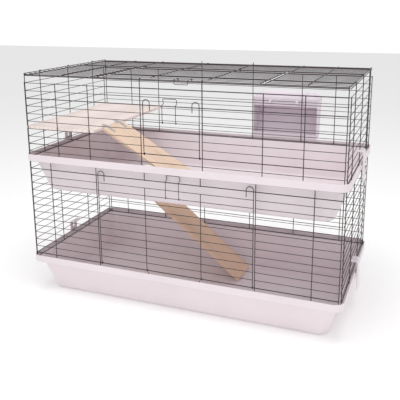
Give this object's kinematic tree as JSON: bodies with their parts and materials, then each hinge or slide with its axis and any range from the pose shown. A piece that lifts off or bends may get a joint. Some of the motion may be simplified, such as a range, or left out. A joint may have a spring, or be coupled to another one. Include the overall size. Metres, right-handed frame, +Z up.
{
  "type": "two-tier wire rabbit cage",
  "caption": "Two-storey wire rabbit cage on plastic trays, with front and roof doors, a shelf, two ramps and an outside hay rack.",
  "frame": {"origin": "middle of the lower tray's underside, on the ground", "axes": "+X along the length to the viewer's right, -Y is the front with the doors, +Z up"},
  "size_m": [1.208, 0.6932, 0.851],
  "materials": {
    "black_plum_wire": "satin",
    "tray_plastic": "satin",
    "rack_plastic": "satin",
    "pine": "sawn and sanded",
    "zinc_steel": "zinc plated"
  },
  "bodies": {
    "cage": {"lower_tray": "tray_plastic", "upper_tray": "tray_plastic", "lower_front_panel": "black_plum_wire", "lower_back_panel": "black_plum_wire", "lower_left_panel": "black_plum_wire", "lower_right_panel": "black_plum_wire", "upper_front_panel": "black_plum_wire", "upper_back_panel": "black_plum_wire", "upper_left_panel": "black_plum_wire", "upper_right_panel": "black_plum_wire", "roof_panel": "black_plum_wire", "panel_eyes": "black_plum_wire", "shelf_board": "pine", "hay_rack_bin": "rack_plastic", "hay_rack_hinge_rod": "zinc_steel", "hay_rack_hooks": "rack_plastic", "clip_pins": "zinc_steel"},
    "lower_door_leaf": {"lower_door": "black_plum_wire", "lower_door_hooks": "black_plum_wire", "lower_door_eyes": "black_plum_wire"},
    "lower_latch": {"lower_door_latch": "black_plum_wire", "lower_latch_eyes": "black_plum_wire"},
    "upper_door_leaf": {"upper_door": "black_plum_wire", "upper_door_hooks": "black_plum_wire", "upper_door_eyes": "black_plum_wire"},
    "upper_latch": {"upper_door_latch": "black_plum_wire", "upper_latch_eyes": "black_plum_wire"},
    "roof_door_leaf": {"roof_door": "black_plum_wire", "roof_door_eyes": "black_plum_wire"},
    "roof_latch": {"roof_door_latch": "black_plum_wire", "roof_latch_eyes": "black_plum_wire"},
    "upper_ramp": {"upper_ramp_board": "pine", "upper_ramp_hooks": "zinc_steel", "upper_ramp_screws": "zinc_steel"},
    "lower_ramp": {"lower_ramp_board": "pine", "lower_ramp_hooks": "zinc_steel", "lower_ramp_screws": "zinc_steel"},
    "hay_rack_cover": {"hay_rack_lid": "rack_plastic"},
    "lower_left_catch": {"lower_left_clip": "tray_plastic"},
    "lower_right_catch": {"lower_right_clip": "tray_plastic"},
    "upper_left_catch": {"upper_left_clip": "tray_plastic"},
    "upper_right_catch": {"upper_right_clip": "tray_plastic"}
  },
  "joints": [
    {"name": "lower_door_hinge", "type": "hinge", "parent": "cage", "child": "lower_door_leaf", "pos_m": [0, -0.2855, 0.153], "axis": [1, 0, 0], "range_deg": [0, 92]},
    {"name": "lower_latch_hinge", "type": "hinge", "parent": "lower_door_leaf", "child": "lower_latch", "pos_m": [0, -0.28627, 0.434], "axis": [1, 0, 0], "range_deg": [0, 150]},
    {"name": "upper_door_hinge", "type": "hinge", "parent": "cage", "child": "upper_door_leaf", "pos_m": [0, -0.2855, 0.5851], "axis": [1, 0, 0], "range_deg": [0, 145]},
    {"name": "upper_latch_hinge", "type": "hinge", "parent": "upper_door_leaf", "child": "upper_latch", "pos_m": [-0.0065, -0.28627, 0.6975], "axis": [1, 0, 0], "range_deg": [0, 105]},
    {"name": "roof_door_hinge", "type": "hinge", "parent": "cage", "child": "roof_door_leaf", "pos_m": [0.018, 0.0855, 0.8405], "axis": [-1, 0, 0], "range_deg": [0, 150]},
    {"name": "roof_latch_hinge", "type": "hinge", "parent": "roof_door_leaf", "child": "roof_latch", "pos_m": [0.04, -0.2565, 0.84127], "axis": [-1, 0, 0], "range_deg": [0, 120]},
    {"name": "upper_ramp_tilt", "type": "hinge", "parent": "cage", "child": "upper_ramp", "pos_m": [-0.298, -0.158, 0.6526], "axis": [0, -1, 0], "range_deg": [0, 18]},
    {"name": "lower_ramp_tilt", "type": "hinge", "parent": "cage", "child": "lower_ramp", "pos_m": [-0.35, 0.11, 0.4033], "axis": [0, -1, 0], "range_deg": [0, 18]},
    {"name": "hay_rack_lid_hinge", "type": "hinge", "parent": "cage", "child": "hay_rack_cover", "pos_m": [0.246, 0.38873, 0.708], "axis": [-1, 0, 0], "range_deg": [0, 110]},
    {"name": "lower_left_clip_hinge", "type": "hinge", "parent": "cage", "child": "lower_left_catch", "pos_m": [-0.599, 0, 0.134], "axis": [0, -1, 0], "range_deg": [0, 20]},
    {"name": "lower_right_clip_hinge", "type": "hinge", "parent": "cage", "child": "lower_right_catch", "pos_m": [0.599, 0, 0.134], "axis": [0, 1, 0], "range_deg": [0, 20]},
    {"name": "upper_left_clip_hinge", "type": "hinge", "parent": "cage", "child": "upper_left_catch", "pos_m": [-0.599, 0, 0.534], "axis": [0, -1, 0], "range_deg": [0, 20]},
    {"name": "upper_right_clip_hinge", "type": "hinge", "parent": "cage", "child": "upper_right_catch", "pos_m": [0.599, 0, 0.534], "axis": [0, 1, 0], "range_deg": [0, 20]}
  ]
}
